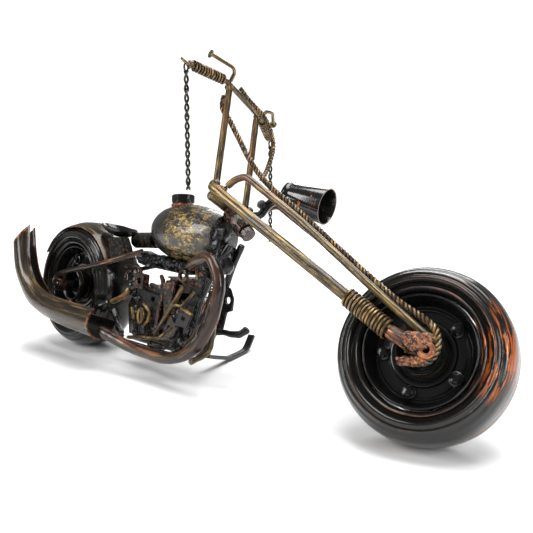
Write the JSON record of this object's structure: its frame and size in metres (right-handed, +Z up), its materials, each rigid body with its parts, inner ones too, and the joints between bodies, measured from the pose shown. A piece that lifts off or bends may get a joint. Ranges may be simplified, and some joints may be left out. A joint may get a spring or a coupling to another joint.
{
  "type": "toy motorcycle",
  "caption": "Chopper motorcycle figure of rods, springs and half pipes on its side stand, with spinning wheels, a raked turning fork and hanging chains.",
  "frame": {"origin": "centre of the bounding box's base, on the floor", "axes": "+X towards the front of the motorcycle, +Y to its rider's left, +Z up"},
  "size_m": [0.3298, 0.1212, 0.1823],
  "materials": {
    "black": "gloss black lacquer, lightly dry-brushed with gold and copper on raised edges",
    "gold": "antique gold streaked over black",
    "bronze": "dull bronze rubbed over black, brighter on ridges",
    "copper": "copper and rust red over black"
  },
  "bodies": {
    "frame": {"rear_axle": "black", "rear_axle_nut_right": "copper", "rear_axle_nut_left": "copper", "steering_head": "copper", "down_tube_right": "black", "rear_strut_right": "bronze", "down_tube_left": "black", "rear_strut_left": "bronze", "backbone_tube": "black", "frame_spine": "black", "fuel_tank": "gold", "fuel_cap": "black", "seat_pan": "black", "seat_bracket": "black", "rear_fender": "bronze", "crankcase": "black", "cylinder_block": "black", "engine_side_plate": "black", "engine_nut_block": "copper", "engine_strap": "copper", "push_rod": "gold", "engine_eyelet": "copper", "timing_disc": "gold", "header_pipe": "copper", "muffler": "bronze", "muffler_hook": "black", "control_plate": "black", "foot_pedal": "bronze", "foot_peg": "gold", "stand_foot": "black"},
    "front_end": {"front_axle": "black", "front_axle_nut_right": "copper", "front_axle_nut_left": "copper", "fork_leg_right": "gold", "fork_spring_right": "gold", "fork_rod_right": "gold", "riser_right": "gold", "fork_leg_left": "gold", "fork_spring_left": "gold", "fork_rod_left": "gold", "riser_left": "gold", "fork_yoke": "gold", "steering_stem": "copper", "handlebar": "gold", "grip_right": "gold", "lever_right": "gold", "grip_left": "gold", "lever_left": "gold", "brake_cable_long": "copper", "brake_cable_short": "copper", "headlamp_cup": "black", "headlamp_bracket": "black"},
    "front_wheel": {"front_tyre": "black", "front_rim": "black", "front_hub": "black"},
    "rear_wheel": {"rear_tyre": "black", "rear_rim": "black", "rear_hub": "black"},
    "chain_right": {"chain_right": "black"},
    "chain_left": {"chain_left": "black"}
  },
  "joints": [
    {"name": "steering", "type": "hinge", "parent": "frame", "child": "front_end", "pos_m": [0.00877, -0.01202, 0.09204], "axis": [-0.8049, 0.0867, 0.5871], "range_deg": [-50, 5]},
    {"name": "front_wheel_spin", "type": "hinge", "parent": "front_end", "child": "front_wheel", "pos_m": [0.12487, -0.00867, 0.03881], "axis": [-0.2261, 0.8698, -0.4385], "continuous": true},
    {"name": "rear_wheel_spin", "type": "hinge", "parent": "frame", "child": "rear_wheel", "pos_m": [-0.12493, -0.01966, 0.0403], "axis": [0, 0.9893, -0.1461], "continuous": true},
    {"name": "chain_right_swing", "type": "hinge", "parent": "front_end", "child": "chain_right", "pos_m": [-0.00787, -0.03192, 0.17454], "axis": [0, 1, 0], "range_deg": [-20, 20]},
    {"name": "chain_left_swing", "type": "hinge", "parent": "front_end", "child": "chain_left", "pos_m": [-0.03084, 0.05759, 0.13587], "axis": [0, 1, 0], "range_deg": [-20, 20]}
  ]
}
